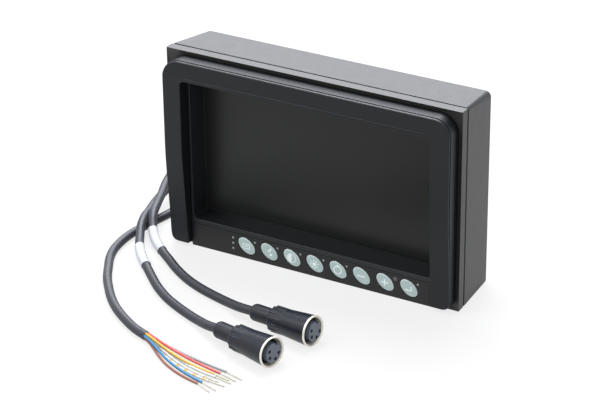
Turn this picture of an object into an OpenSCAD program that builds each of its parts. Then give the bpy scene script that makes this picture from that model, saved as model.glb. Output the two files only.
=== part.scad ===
// Heavy-duty 7 inch reversing monitor with a sun hood, eight keys and three
// moulded-in leads: two camera sockets and one power and trigger lead.
// Lengths are in millimetres. X runs across the screen, Z is up, and the screen
// faces -Y. Depths inside the modules are counted from the front edge of the frame.

/* [Housing] */
// Width of the frame and of the housing's front edge
body_w = 197; // [190:1:204]
// Height of the frame and of the housing's front edge
body_h = 129; // [127:1:133]
// Depth of the front frame, back to the seam
frame_d = 6.3; // [5.5:0.1:7]
// Depth from the frame's front edge to the rear face
body_d = 44.7; // [43:0.1:50]
// How much each side of the rear housing draws in towards the back
side_draft = 2; // [0.5:0.5:3]
// How much the top of the rear housing drops towards the back
top_draft = 4.2; // [1:0.1:6]
// Wall thickness of the rear housing
wall = 3; // [2.5:0.1:3.2]
// Radius of the rear corners
rear_corner_r = 4; // [3:0.5:5]

/* [Sun hood] */
// Clear border between the frame's edge and the hood
hood_border = 2.9; // [2.5:0.1:3.5]
// How far the brim stands in front of the frame
hood_reach = 11.3; // [9:0.1:14]
// How far the arms fall back at their lower ends
hood_fall = 4; // [2:0.5:6]
// Height of the sloping brim above the opening's crease
brim_h = 10; // [8:0.5:12]
// Radius of the hood's upper corners
hood_corner_r = 11; // [8:0.5:13]

/* [Screen and bezel] */
// Width of the window at the front of the bezel
window_w = 163; // [160:1:165]
// Height of the window's lower edge above the base
window_bottom = 19; // [18.5:0.5:20]
// Height of the window's upper edge above the base
window_top = 112; // [110:0.5:112.5]
// Depth of the cover glass behind the frame's front edge
glass_depth = 12; // [11:0.5:13]
// How far the bezel stands in front of the frame's edge
bezel_reach = 2.6; // [2:0.1:3]

/* [Keys] */
// Length of an oval key
key_long = 13; // [12:0.1:13.4]
// Width of an oval key
key_short = 8.8; // [8:0.1:9.4]
// How far a key's length leans down to the right, in degrees
key_slant = 39; // [0:1:45]
// Spacing of the keys
key_pitch = 15.85; // [15.5:0.05:16]
// X of the first key's centre
key_first_x = -43.9; // [-46:0.1:-42]
// Height of the key row
key_z = 8.9; // [8.7:0.1:9.2]
// How far a key travels
key_travel = 0.8; // [0.4:0.1:0.8]

/* [Mounting] */
// Spacing of the rear threaded inserts, both ways
mount_pitch = 75; // [75:1:76]
// Radius of the inserts' threaded bore
mount_hole_r = 1.65; // [1.5:0.05:1.8]
// Depth of the threaded bore
mount_hole_l = 8; // [6:0.5:8]

/* [Leads and connectors] */
// Outer diameter of a lead
lead_d = 5.6; // [5:0.1:5.8]
// Length of a connector from boot to face
conn_l = 45; // [44:1:46]
// Diameter of the coupling sleeve at its face
sleeve_d = 18.8; // [18:0.1:19]
// Diameter of the socket insert
insert_d = 11.6; // [11:0.1:12]
// Diameter of one insulated core of the power lead
wire_d = 1.6; // [1.2:0.1:1.6]

/* [Hidden] */
$fn = 48;
gap = 0.3;
skin = 0.01;

// The row's origin is under the middle of the monitor's depth.
front_y = -(body_d - hood_reach) / 2;
half_w = body_w / 2;

seam_gap = 1;
housing_y = frame_d + seam_gap;
tongue_t = 2;
recess_d = 1.2;

hood_half_w = half_w - hood_border;
hood_top = body_h - hood_border;
hood_bottom = hood_border;
crease_z = hood_top - brim_h;
opening_top = crease_z - 2.2;
opening_half_w = 83.2;
bezel_half_w = opening_half_w - 0.2;
bezel_top = opening_top - 0.2;
arm_fall_top = 70;
arm_fall_bottom = 6;

funnel_draft = 1;
funnel_wall = 1.5;
funnel_end = glass_depth - 0.4;
glass_t = 1.8;
lcd_y = glass_depth + glass_t;
lcd_t = 2.2;
backlight_t = 3.4;
bracket_y = lcd_y + lcd_t + backlight_t;
bracket_t = 1;
board_y = 27;
board_t = 1.6;
window_mid = (window_bottom + window_top) / 2;

overlay_t = 0.25;
key_face = bezel_reach + 0.7;
key_flange_y = recess_d + gap;
key_flange_t = 0.8;
switch_tip_y = key_flange_y + key_flange_t + key_travel + gap;
key_board_y = switch_tip_y + 4.2;

screw_x = 89;
screw_z = [12, 62, 112];
mount_z = 62;
insert_r = 3;
gland_x = -74;
gland_z = [56, 36, 16];
gland_l = 22;
gland_y = body_d + gland_l;
speaker_pos = [62, 18];

boot_l = 15;
sleeve_l = conn_l - boot_l - gap;
conn_tilt = 3;
// Face centre and heading of each connector: x, depth, height, heading
connectors = [[42.7, -74.4, 9.5, -9], [33.8, -106.2, 9.5, -15]];
pin_roll = -24;
pins = [[-3.9, 0.55], [3.9, 0.55], [-2.35, -3.1], [2.35, -3.1]];

// Routes of the three leads, from the gland to the connector or the stripped end
route_camera_1 = [
    [-74, 66.7, 56], [-74.2, 75, 55.4], [-76, 83.5, 53.4], [-80.5, 91.5, 50],
    [-88, 97.5, 45.6], [-98, 100, 40.6], [-108.5, 98, 35.4], [-118, 91, 30],
    [-125, 80, 25], [-128.6, 66, 20.8], [-129, 51, 17.4], [-126.5, 37, 15],
    [-122.3, 25, 13.5], [-118.5, 14, 12.9], [-114.2, 2, 11.2], [-108.6, -7.4, 6.6],
    [-101.5, -15.5, 3.9], [-92, -23.5, 3.3], [-82, -31, 3],
    [-72, -38.5, 2.8], [-60, -46, 2.8], [-48, -51.5, 2.8], [-36, -55.5, 2.8],
    [-24, -59.5, 3.4], [-13, -64.3, 5.4]];
route_camera_2 = [
    [-74, 66.7, 36], [-74.2, 75, 35.2], [-76.2, 83.5, 33], [-81, 91, 29.6],
    [-89, 96, 25.6], [-99, 97.2, 21.4], [-109, 93.6, 17.6], [-118, 86, 14.6],
    [-124.5, 75, 12], [-128, 61, 10.2], [-128.6, 46, 9], [-127, 31, 8.4],
    [-124.6, 19, 8.4], [-122, 9, 8.4], [-119.9, 1, 8.9], [-116.9, -8, 7.5],
    [-112.5, -16.5, 4.8], [-107, -25.5, 3.5], [-99.5, -35, 3.3], [-90.5, -44, 3.2], [-80, -54, 2.9], [-70, -63, 2.8], [-59, -71, 2.8],
    [-48, -77, 2.8], [-37, -82, 2.8], [-28, -86, 3.3], [-19, -90.8, 5.1]];
route_power = [
    [-74, 66.7, 16], [-74.3, 74.5, 15.4], [-76.6, 82.5, 13.6], [-81.8, 89.2, 11],
    [-89.4, 93, 8.2], [-98, 92.6, 5.6], [-105.4, 87.6, 3.7], [-110.4, 79, 2.9],
    [-113, 68, 2.8], [-114, 56, 2.8], [-114, 44, 2.8], [-114, 32, 2.8],
    [-115, 21, 2.8], [-117.5, 9, 2.8], [-120, -4, 2.8],
    [-121.5, -18, 2.8], [-120, -33, 2.8], [-116, -45, 2.8], [-110, -56, 2.8],
    [-103.5, -67, 2.8], [-96, -77, 2.8], [-87.5, -87, 2.8], [-78, -96, 2.8],
    [-67, -104, 2.8], [-56, -110.5, 2.8], [-45, -115, 2.8]];
label_start = [15, 17];
label_end = [17, 19];

// Stripped cores: name, place in the lead's end (across, up), middle and end on the ground
wire_ring_r = 1.86;
wires = [
    ["grey", 0, [-14, -122.6, 2.4], [14, -124.4, 0.9], [26, -127.4, 0.6]],
    ["red", 51, [-16, -125.4, 3], [12, -127.4, 0.9], [23.5, -130.4, 0.6]],
    ["orange", 103, [-18, -128, 3], [9, -129.8, 0.9], [20, -131.6, 0.6]],
    ["white", 309, [-16, -130, 0.9], [12, -132.2, 0.9], [22.5, -133.8, 0.6]],
    ["white_black", -1, [-18, -132.2, 1.4], [6, -134.9, 0.9], [15.5, -135.8, 0.6]],
    ["white_yellow", 257, [-20, -134.6, 0.9], [10.5, -137.6, 0.9], [21, -138, 0.6]],
    ["blue", 154, [-24, -134.6, 2], [8, -140.6, 0.9], [19, -144, 0.6]],
    ["brown", 206, [-26, -137.4, 0.9], [6.5, -142.8, 0.9], [16.5, -147, 0.6]]];

// ---- Placing and sweeping ----

// Moves a piece from depths counted from the frame's edge to the row's origin.
module in_place() translate([0, front_y, 0]) children();

// Turns a shape drawn on the XY plane so that it rises along +Y from depth y.
module along_y(y, l) translate([0, y, 0]) rotate([90, 0, 0]) mirror([0, 0, 1])
    linear_extrude(l) children();

// A round bar along +Y.
module pin_y(x, y, z, r, l) translate([x, y, z]) rotate([-90, 0, 0]) cylinder(r = r, h = l);

// A box given by its low corner and its high corner.
module block(low, high) translate(low) cube(high - low);

// A rectangle between two corners with one radius above and one below.
module panel(x, z0, z1, r_top, r_bottom) {
    difference() {
        translate([-x, z0]) square([2 * x, z1 - z0]);
        for (s = [-1, 1]) {
            corner(s, x, z1, r_top, -1);
            corner(s, x, z0, r_bottom, 1);
        }
    }
}

// The waste outside one rounded corner; up is the way from the corner inwards.
module corner(s, x, z, r, up) {
    difference() {
        translate([s > 0 ? x - r : -x - 1, up > 0 ? z - 1 : z - r]) square([r + 1, r + 1]);
        translate([s * (x - r), z + up * r]) circle(r);
    }
}

function unit(v) = v / norm(v);
function heading(p, i) = unit(p[min(i + 1, len(p) - 1)] - p[max(i - 1, 0)]);
function across(t) = unit(cross(t, [0, 0, 1]));

// Catmull-Rom curve through the points, n steps to each span.
function spline(p, n) = concat(
    [for (i = [0:len(p) - 2], k = [0:n - 1])
        let (t = k / n, a = p[max(i - 1, 0)], b = p[i], c = p[i + 1],
             d = p[min(i + 2, len(p) - 1)])
        0.5 * (2 * b + (c - a) * t + (2 * a - 5 * b + 4 * c - d) * t * t
               + (3 * b - a - 3 * c + d) * t * t * t)],
    [p[len(p) - 1]]);

// Cubic Bezier curve from a to d in n steps.
function bezier(a, b, c, d, n) = [for (i = [0:n]) let (t = i / n, u = 1 - t)
    u * u * u * a + 3 * u * u * t * b + 3 * u * t * t * c + t * t * t * d];

function ring_points(p, r, sides) = [for (i = [0:len(p) - 1])
    let (t = heading(p, i), s = across(t), up = cross(s, t)) for (k = [0:sides - 1])
        p[i] + r * (cos(360 * k / sides) * s + sin(360 * k / sides) * up)];

function wall_faces(rings, sides, first) = [for (i = [0:rings - 2], k = [0:sides - 1])
    let (a = first + i * sides + k, b = first + i * sides + (k + 1) % sides)
    each [[a, b, b + sides], [a, b + sides, a + sides]]];

function flipped(faces) = [for (f = faces) [f[2], f[1], f[0]]];

// A solid round cord along a path.
module cord(path, d, sides) {
    n = len(path);
    polyhedron(
        points = ring_points(path, d / 2, sides),
        faces = concat(
            [[for (k = [sides - 1:-1:0]) k]],
            [[for (k = [0:sides - 1]) (n - 1) * sides + k]],
            wall_faces(n, sides, 0)));
}

// A sleeve around a path, open at both ends.
module sleeve(path, d_in, d_out, sides) {
    n = len(path);
    inner = n * sides;
    last = (n - 1) * sides;
    polyhedron(
        points = concat(ring_points(path, d_out / 2, sides), ring_points(path, d_in / 2, sides)),
        faces = concat(
            wall_faces(n, sides, 0),
            flipped(wall_faces(n, sides, inner)),
            [for (k = [0:sides - 1]) let (j = (k + 1) % sides)
                each [[k, inner + k, inner + j], [k, inner + j, j],
                      [last + j, last + inner + j, last + inner + k],
                      [last + j, last + inner + k, last + k]]]));
}

// ---- Housing ----

// Outline of the rear housing, drawn in by t on every side.
module housing_shape(t, y) {
    top = body_h - t;
    back = body_d - t;
    r = rear_corner_r - t / 2;
    hull() {
        along_y(y, 1) panel(half_w - t, t, top, 2, 0.5);
        for (s = [-1, 1]) translate([s * (half_w - side_draft - t - r), back - r, 0]) {
            translate([0, 0, t]) cylinder(r = r, h = 1, $fn = 32);
            translate([0, 0, top - top_draft - r]) sphere(r = r, $fn = 32);
        }
    }
}

module screw_places() for (s = [-1, 1], z = screw_z) translate([s * screw_x, 0, z]) children();
module mount_places() for (s = [-1, 1], u = [-1, 1])
    translate([s * mount_pitch / 2, 0, mount_z + u * mount_pitch / 2]) children();
module board_places() for (s = [-45, 70], z = [34, 96]) translate([s, 0, z]) children();
module speaker_holes() for (a = [-2:2], b = [-2:2])
    if (abs(a) + abs(b) < 4) translate([speaker_pos[0] + 4.4 * a, 0, speaker_pos[1] + 4.4 * b])
        children();

module rear_housing() color("#26272a") in_place() {
    inner_back = body_d - wall;
    difference() {
        union() {
            difference() {
                housing_shape(0, housing_y);
                housing_shape(wall, housing_y - 1);
            }
            screw_places() pin_y(0, housing_y + 3, 0, 4.2, inner_back - housing_y - 2);
            mount_places() pin_y(0, inner_back - 8, 0, 5.5, 9);
            board_places() pin_y(0, board_y + board_t, 0, 3, inner_back - board_y - board_t + 1);
        }
        screw_places() pin_y(0, 0, 0, 1.8, body_d + 1);
        screw_places() pin_y(0, body_d - 6, 0, 3.6, 7);
        mount_places() pin_y(0, body_d - 9, 0, insert_r, 10);
        for (z = gland_z) pin_y(gland_x, inner_back - 1, z, 5, wall + 2);
        speaker_holes() pin_y(0, inner_back - 1, 0, 1.1, wall + 2);
        pin_y(-10, inner_back - 1, 100, 4, wall + 2);
        block([44, body_d - 0.5, 84], [80, body_d + 1, 108]);
    }
}

// The frame's face falls inwards from a square edge to the round base of the hood.
module front_frame() color("#1f2022") in_place() difference() {
    union() {
        block([-half_w, 0, 0], [half_w, frame_d, body_h]);
        difference() {
            inside = wall + gap;
            along_y(frame_d, 3) panel(half_w - inside, inside, body_h - inside, 2, 0.5);
            block([inside + tongue_t - half_w, frame_d - 1, inside + tongue_t],
                  [half_w - inside - tongue_t, frame_d + 4, body_h - inside - tongue_t]);
        }
    }
    hull() {
        along_y(-skin, skin) panel(half_w + skin, -skin, body_h + skin, skin, skin);
        along_y(recess_d - skin, skin)
            panel(hood_half_w, hood_bottom, hood_top, hood_corner_r, 4);
    }
    block([-opening_half_w, -1, -1], [opening_half_w, recess_d, opening_top]);
    block([-84.4, -1, 2.4], [84.4, frame_d + 1, opening_top + 0.6]);
    screw_places() pin_y(0, 2.4, 0, 1.4, 5);
    block([-62, frame_d, 3], [78, frame_d + 4, 6]);
}

module frame_gasket() color("#0c0c0d") in_place() along_y(frame_d, seam_gap) difference() {
    panel(half_w - 0.8, 0.8, body_h - 0.8, 2, 0.5);
    inset = wall + 0.2;
    translate([inset - half_w, inset]) square([body_w - 2 * inset, body_h - 2 * inset]);
}

// Side view of the hood: sloping brim above the crease, arms that fall back below it.
module hood_profile() {
    lean = 1;
    edge_r = 2;
    steps = 10;
    fall = [for (i = [0:steps]) let (t = i / steps, e = t * t * (3 - 2 * t))
        [-hood_reach + hood_fall * e, arm_fall_top + (arm_fall_bottom - arm_fall_top) * t]];
    rim = [for (a = [0:15:90])
        [-hood_reach + lean + edge_r * (1 - sin(a)), hood_top - edge_r * (1 - cos(a))]];
    polygon(concat(
        [[recess_d, hood_bottom], [recess_d, hood_top]], rim,
        [[-hood_reach, crease_z]], fall,
        [[-hood_reach + hood_fall, hood_bottom]]));
}

module sun_hood() color("#1b1b1e") in_place() intersection() {
    along_y(-hood_reach - 1, hood_reach + 1 + recess_d) difference() {
        panel(hood_half_w, hood_bottom, hood_top, hood_corner_r, 4);
        translate([-opening_half_w, -1]) square([2 * opening_half_w, opening_top + 1]);
    }
    rotate([90, 0, 90]) translate([0, 0, -half_w]) linear_extrude(body_w) hood_profile();
}

// ---- Bezel and keys ----

function key_x(i) = key_first_x + (i - 1) * key_pitch;
lit_keys = [1, 2, 3, 4, 5, 8];
light_r = 0.7;
light_offset = [5.9, 3.9];
status_x = -53.4;
status_z = [5.3, 8.9, 12.5];
sensor_at = [58, 12.8];
module light_places() {
    for (i = lit_keys) translate([key_x(i) + light_offset[0], 0, key_z + light_offset[1]])
        children();
    for (z = status_z) translate([status_x, 0, z]) children();
}

// A key's slanted oval, grown by a clearance, from depth y back by t.
module key_oval(i, y, clearance, t) translate([key_x(i), y, key_z]) rotate([-90, 0, 0])
    rotate(key_slant) linear_extrude(t) scale([key_long / 2 + clearance, key_short / 2 + clearance])
        circle(1);

module bezel() color("#2a2b2d") in_place() difference() {
    union() {
        block([-bezel_half_w, -bezel_reach, 0], [bezel_half_w, recess_d, bezel_top]);
        block([-window_w / 2 - funnel_wall, recess_d - 1, window_bottom - funnel_wall],
              [window_w / 2 + funnel_wall, funnel_end, window_top + funnel_wall]);
    }
    hull() {
        along_y(-bezel_reach - 1, 1) panel(window_w / 2, window_bottom, window_top, 3, 3);
        along_y(funnel_end + 1, 1) panel(window_w / 2 - funnel_draft,
            window_bottom + funnel_draft, window_top - funnel_draft, 2, 2);
    }
    for (i = [1:8]) key_oval(i, -bezel_reach - 1, gap, 9);
    light_places() pin_y(0, -bezel_reach - 1, 0, light_r + 0.05, 9);
    pin_y(sensor_at[0], -bezel_reach - 1, sensor_at[1], 1.5, 9);
}

module key_overlay() color("#303133") in_place() difference() {
    block([-81, -bezel_reach - overlay_t, 1.4], [81, -bezel_reach, 15.9]);
    for (i = [1:8]) key_oval(i, -bezel_reach - 1, gap, 3);
    light_places() pin_y(0, -bezel_reach - 1, 0, light_r + 0.05, 3);
    pin_y(sensor_at[0], -bezel_reach - 1, sensor_at[1], 1.5, 3);
}

// A key: a shallow cap that passes through the bezel, and a bar whose ends keep it in.
module push_button(i) color("#b4cbc6") in_place() {
    key_oval(i, -key_face, 0, key_face + key_flange_y + skin);
    intersection() {
        pin_y(key_x(i), key_flange_y, key_z, 7, key_flange_t);
        block([key_x(i) - 9, 0, key_z - 1.8], [key_x(i) + 9, 9, key_z + 1.8]);
    }
}

module light_pipes() color("#cfd6d6") in_place()
    light_places() pin_y(0, -bezel_reach - overlay_t, 0, light_r, key_board_y + bezel_reach + overlay_t);

module light_sensor() color("#101214") in_place() {
    pin_y(sensor_at[0], -bezel_reach - overlay_t, sensor_at[1], 1.4, 7);
    pin_y(sensor_at[0], 4, sensor_at[1], 2, key_board_y - 4);
}

// ---- Display stack ----

// A flat sheet centred on the window.
module sheet(w, h, y, t) block([-w / 2, y, window_mid - h / 2], [w / 2, y + t, window_mid + h / 2]);

module glass_gasket() color("#141414") in_place() difference() {
    sheet(166, 95, funnel_end, 0.4);
    sheet(160.4, 90.4, funnel_end - 1, 3);
}

module cover_glass() color("#1e2220") in_place() sheet(166, 95.5, glass_depth, glass_t);

module lcd_panel() color("#2d2f2e") in_place() sheet(164.9, 94, lcd_y, lcd_t);

module backlight() color("#dfe3e4") in_place() sheet(162, 92, lcd_y + lcd_t, backlight_t);

module lcd_bracket() color("#9a9da0") in_place() {
    difference() {
        union() {
            sheet(167.6, 97.4, bracket_y, bracket_t);
            difference() {
                sheet(167.6, 97.4, lcd_y - 1.6, bracket_y - lcd_y + 2);
                sheet(166.2, 96, lcd_y - 3, bracket_y - lcd_y + 6);
            }
        }
        for (s = [-1, 1]) sheet_hole(s * 50);
    }
}
module sheet_hole(x) block([x - 18, bracket_y - 1, window_mid - 20],
                           [x + 18, bracket_y + 2, window_mid + 20]);

module main_board() color("#1d5a34") in_place() difference() {
    block([-50, board_y, 28], [76, board_y + board_t, 102]);
    board_places() pin_y(0, board_y - 1, 0, 1.4, 4);
}

module board_parts() color("#1b1c1e") in_place() {
    back = board_y + board_t;
    block([-20, back, 52], [2, back + 2.2, 74]);
    block([18, back, 60], [30, back + 1.6, 72]);
    block([40, back, 66], [60, back + 6, 80]);
    block([-46, back, 44], [-38, back + 7, 70]);
    for (x = [10, 24, 38]) pin_y(x, back, 85, 3.2, 7);
    block([-12, board_y - 3, 33], [14, board_y, 38]);
}

module key_board() color("#1d5a34") in_place()
    block([-60, key_board_y, 3.4], [76, key_board_y + board_t, 16.6]);

module tact_switches() color("#8d9193") in_place() for (i = [1:8]) {
    block([key_x(i) - 3, key_board_y - 3.4, key_z - 3], [key_x(i) + 3, key_board_y, key_z + 3]);
    pin_y(key_x(i), switch_tip_y, key_z, 1.7, key_board_y - switch_tip_y - 1);
}

// Flat cable from the display's lower edge back to the socket on the main board.
module ribbon_cable() color("#c9b88a") in_place() {
    fold_y = bracket_y + bracket_t;
    rotate([90, 0, 90]) translate([0, 0, -10]) linear_extrude(22) polygon([
        [fold_y, 40], [fold_y, 35], [board_y - 3, 35], [board_y - 3, 35.4],
        [fold_y + 0.4, 35.4], [fold_y + 0.4, 40]]);
}

module speaker() color("#2b2d30") in_place() {
    y = body_d - wall - 0.05;
    difference() {
        pin_y(speaker_pos[0], y - 6, speaker_pos[1], 12, 6);
        pin_y(speaker_pos[0], y - 2, speaker_pos[1], 11.2, 3);
    }
    pin_y(speaker_pos[0], y - 8.4, speaker_pos[1], 7, 2.4 + skin);
}

// ---- Fasteners and fittings ----

module case_screws() color("#6f7376") in_place() screw_places() difference() {
    union() {
        pin_y(0, 3, 0, 1.4, body_d - 8);
        pin_y(0, body_d - 6, 0, 3, 2.4);
    }
    translate([0, body_d - 4.6, 0]) rotate([-90, 0, 0]) cylinder(r = 1.5, h = 3, $fn = 6);
}

module board_screws() color("#b9bcbe") in_place() board_places() {
    pin_y(0, board_y - 1.6, 0, 2.6, 1.6);
    pin_y(0, board_y - 0.5, 0, 1.4, board_t + 0.5);
}

module mount_inserts() color("#b08a4a") in_place() mount_places() difference() {
    pin_y(0, body_d - 9, 0, insert_r, 9);
    pin_y(0, body_d - mount_hole_l, 0, mount_hole_r, mount_hole_l + 1);
}

module pressure_vent() color("#3a3c3f") in_place() {
    pin_y(-10, body_d - wall - 1.55, 100, 3.95, wall + 1.55);
    pin_y(-10, body_d - wall - 1.55, 100, 6, 1.5);
}

module rating_plate() color("#c9cbcc") in_place()
    block([45, body_d - 0.5, 85], [79, body_d - 0.1, 107]);

// Moulded grommet with a flange outside, a neck through the wall and a tapered tail.
module cable_gland(i) color("#1a1a1c") in_place() translate([gland_x, 0, gland_z[i - 1]])
    rotate([-90, 0, 0]) rotate_extrude() polygon([
        [0, body_d - wall - 5], [4.9, body_d - wall - 5], [4.9, body_d], [7.6, body_d],
        [7.6, body_d + 1.6], [6.8, body_d + 2.4], [5.4, body_d + 3], [3.9, gland_y - 0.5],
        [3.4, gland_y], [0, gland_y]]);

module gland_nuts() color("#2e2f31") in_place() for (z = gland_z) difference() {
    translate([gland_x, body_d - wall - 4.05, z]) rotate([-90, 0, 0])
        cylinder(r = 8.2, h = 4, $fn = 6);
    pin_y(gland_x, body_d - wall - 5, z, 4.9, 6);
}

// ---- Leads ----

// Where a connector's rear end is, and which way its axis points.
function axis_of(c) = [cos(c[3]) * cos(conn_tilt), sin(c[3]) * cos(conn_tilt), sin(conn_tilt)];
function rear_of(c) = [c[0], c[1], c[2]] - conn_l * axis_of(c);

module lead(route) color("#4b4e54") in_place() cord(spline(route, 2), lead_d, 10);

module camera_cable(i) lead(concat(i == 1 ? route_camera_1 : route_camera_2,
                                   [rear_of(connectors[i - 1])]));

module label_sleeve(i) color("#e6eaec") in_place() {
    route = spline(i == 1 ? route_camera_1 : route_camera_2, 2);
    path = [for (k = [2 * label_start[i - 1]:2 * label_end[i - 1]]) route[k]];
    sleeve(path, lead_d + 0.04, lead_d + 0.7, 10);
}

// Draws its children with the connector's axis on +X and its face at x = 0.
module at_connector(i) {
    c = connectors[i - 1];
    in_place() translate([c[0], c[1], c[2]]) rotate([0, 0, c[3]]) rotate([0, -conn_tilt, 0])
        children();
}

// A turned shape whose profile gives radius against distance behind the face.
module turned(profile) rotate([0, -90, 0]) rotate_extrude() polygon(profile);

module connector_boot(i) color("#17181a") at_connector(i) turned([
    [0, conn_l - boot_l], [5.15, conn_l - boot_l], [5.15, conn_l - 1.6],
    [4.4, conn_l - 0.4], [3.3, conn_l], [0, conn_l]]);

module coupling_sleeve(i) color("#15161a") at_connector(i) {
    front_r = sleeve_d / 2;
    turned([
        [5.5, sleeve_l], [6.7, sleeve_l], [7.2, sleeve_l - 0.8], [front_r - 0.15, 1.2],
        [8.5, 1.2], [8.5, 5], [6.9, 5], [6.9, 22.5], [5.5, 22.5]]);
    for (a = [0:30:330]) rotate([a, 0, 0]) translate([-sleeve_l + 1, -0.8, 6.9])
        cube([7, 1.6, 0.9]);
}

module thread_ring(i) color("#b9b4a8") at_connector(i) turned([
    [8.1, 0.8], [8.8, 0], [sleeve_d / 2 - 0.3, 0], [sleeve_d / 2, 0.3], [sleeve_d / 2, 1.2],
    [8.5, 1.2], [8.5, 5], [8.1, 5]]);

module connector_insert(i) color("#3a3f45") at_connector(i) difference() {
    turned([
        [0, -1.2], [insert_d / 2 - 0.3, -1.2], [insert_d / 2, -0.9], [insert_d / 2, 6],
        [6.35, 6.4], [6.35, 20], [6.6, 20], [6.6, 22], [5.1, 22], [5.1, conn_l - boot_l],
        [0, conn_l - boot_l]]);
    rotate([pin_roll, 0, 0]) {
        for (p = pins) translate([-9, p[0], p[1]]) rotate([0, 90, 0]) cylinder(r = 1.1, h = 11);
        block([-8, -1, 4.9], [2, 1, 8]);
    }
}

module socket_contacts(i) color("#a98f52") at_connector(i) rotate([pin_roll, 0, 0])
    for (p = pins) translate([-9, p[0], p[1]]) rotate([0, 90, 0]) difference() {
        cylinder(r = 1.1, h = 6);
        translate([0, 0, 2]) cylinder(r = 0.7, h = 5);
    }

// ---- Stripped cores of the power lead ----

lead_end = route_power[len(route_power) - 1];
lead_heading = heading(spline(route_power, 2), 2 * (len(route_power) - 1));
lead_across = across(lead_heading);

function wire_start(w) = w[1] < 0 ? lead_end
    : lead_end + wire_ring_r * (cos(w[1]) * -lead_across + sin(w[1]) * [0, 0, 1]);

// The first control point carries the core straight on, the second is the stated middle.
function wire_path(w) = bezier(wire_start(w), wire_start(w) + 14 * lead_heading, w[2], w[3], 15);

module wire(i, shade) color(shade) in_place() cord(wire_path(wires[i]), wire_d, 8);

module wire_tips() color("#c8c6bd") in_place() for (w = wires) {
    l = norm(w[4] - w[3]);
    d = (w[4] - w[3]) / l;
    translate(w[3]) rotate([0, acos(d[2]), atan2(d[1], d[0])]) cylinder(r = 0.5, h = l, $fn = 16);
}

wire_shades = ["#9aa0a2", "#d8434a", "#e8a321", "#e9ecec", "#dfe2e2", "#ecebe0", "#2f86c4", "#8d4a2e"];

rear_housing();
front_frame();
frame_gasket();
sun_hood();
bezel();
key_overlay();
light_pipes();
light_sensor();
glass_gasket();
cover_glass();
lcd_panel();
backlight();
lcd_bracket();
main_board();
board_parts();
key_board();
tact_switches();
ribbon_cable();
speaker();
case_screws();
board_screws();
mount_inserts();
pressure_vent();
rating_plate();
gland_nuts();
for (i = [1:8]) push_button(i);
for (i = [1:3]) cable_gland(i);
for (i = [1:2]) camera_cable(i);
lead(route_power);  // power_cable
for (i = [1:2]) label_sleeve(i);
for (i = [1:2]) connector_boot(i);
for (i = [1:2]) coupling_sleeve(i);
for (i = [1:2]) thread_ring(i);
for (i = [1:2]) connector_insert(i);
for (i = [1:2]) socket_contacts(i);
for (i = [0:7]) wire(i, wire_shades[i]);
wire_tips();
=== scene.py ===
# A heavy-duty 7 inch monitor for a reversing camera: a sun-hooded screen in a box
# housing, a row of eight oval keys, two leads with four-way sockets for the
# cameras and one lead whose eight cores are stripped for the vehicle's own wires.

import math

import bpy
import numpy as np
from mathutils import Matrix, Vector


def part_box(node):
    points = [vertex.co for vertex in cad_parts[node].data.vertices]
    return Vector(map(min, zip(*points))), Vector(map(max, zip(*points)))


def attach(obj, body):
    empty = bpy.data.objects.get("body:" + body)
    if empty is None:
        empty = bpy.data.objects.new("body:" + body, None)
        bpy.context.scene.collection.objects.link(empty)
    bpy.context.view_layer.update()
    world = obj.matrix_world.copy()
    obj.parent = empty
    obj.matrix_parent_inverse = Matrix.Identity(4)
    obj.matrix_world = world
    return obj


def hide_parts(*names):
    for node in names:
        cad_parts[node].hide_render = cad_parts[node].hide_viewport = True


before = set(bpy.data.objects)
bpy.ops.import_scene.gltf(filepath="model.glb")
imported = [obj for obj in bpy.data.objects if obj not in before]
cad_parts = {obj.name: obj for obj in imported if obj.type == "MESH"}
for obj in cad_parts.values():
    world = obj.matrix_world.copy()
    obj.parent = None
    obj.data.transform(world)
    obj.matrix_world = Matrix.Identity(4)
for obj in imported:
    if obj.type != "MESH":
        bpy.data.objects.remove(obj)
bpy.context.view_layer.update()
mm = 0.001
# Depths below are counted from the front edge of the frame, in millimetres.
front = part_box("front_frame")[0].y / mm


# ---- Camera, floor and studio light ----
# A long lens looks down on the monitor's right front corner. The floor is a white light
# table under a white sky, with two broad softboxes above and behind and a small one in front.

turn, rise, roll = (math.radians(a) for a in (29.6, 27.4, -0.63))
camera_away = 1.4604
back = Vector((math.sin(turn) * math.cos(rise), -math.cos(turn) * math.cos(rise), math.sin(rise)))
level = Vector((math.cos(turn), math.sin(turn), 0.0))
up = back.cross(level)
right = math.cos(roll) * level + math.sin(roll) * up
up = math.cos(roll) * up - math.sin(roll) * level
aim = Vector((0, 3.3 * mm, 65 * mm)) - 16.32 * mm * right - 27.46 * mm * up
lens = bpy.data.cameras.new("camera")
lens.sensor_width = 36
lens.lens = 146.3
lens.clip_start = 0.05
camera = bpy.data.objects.new("camera", lens)
camera.matrix_world = Matrix.Translation(aim + camera_away * back) @ Matrix(
    (right, up, back)).transposed().to_4x4()
bpy.context.scene.collection.objects.link(camera)
bpy.context.scene.camera = camera

reach_out = 5
floor_mesh = bpy.data.meshes.new("floor")
floor_mesh.from_pydata([(-reach_out, -reach_out, 0), (reach_out, -reach_out, 0),
                        (reach_out, reach_out, 0), (-reach_out, reach_out, 0)], [], [(0, 1, 2, 3)])
floor = bpy.data.objects.new("floor", floor_mesh)
bpy.context.scene.collection.objects.link(floor)
paper = bpy.data.materials.new("studio paper")
paper.use_nodes = True
for socket, value in (("Base Color", (0.1, 0.1, 0.1, 1)), ("Roughness", 0.9),
                      ("Specular IOR Level", 0.0), ("Emission Color", (1, 1, 1, 1)),
                      ("Emission Strength", 0.78)):
    paper.node_tree.nodes["Principled BSDF"].inputs[socket].default_value = value
floor_mesh.materials.append(paper)

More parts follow.
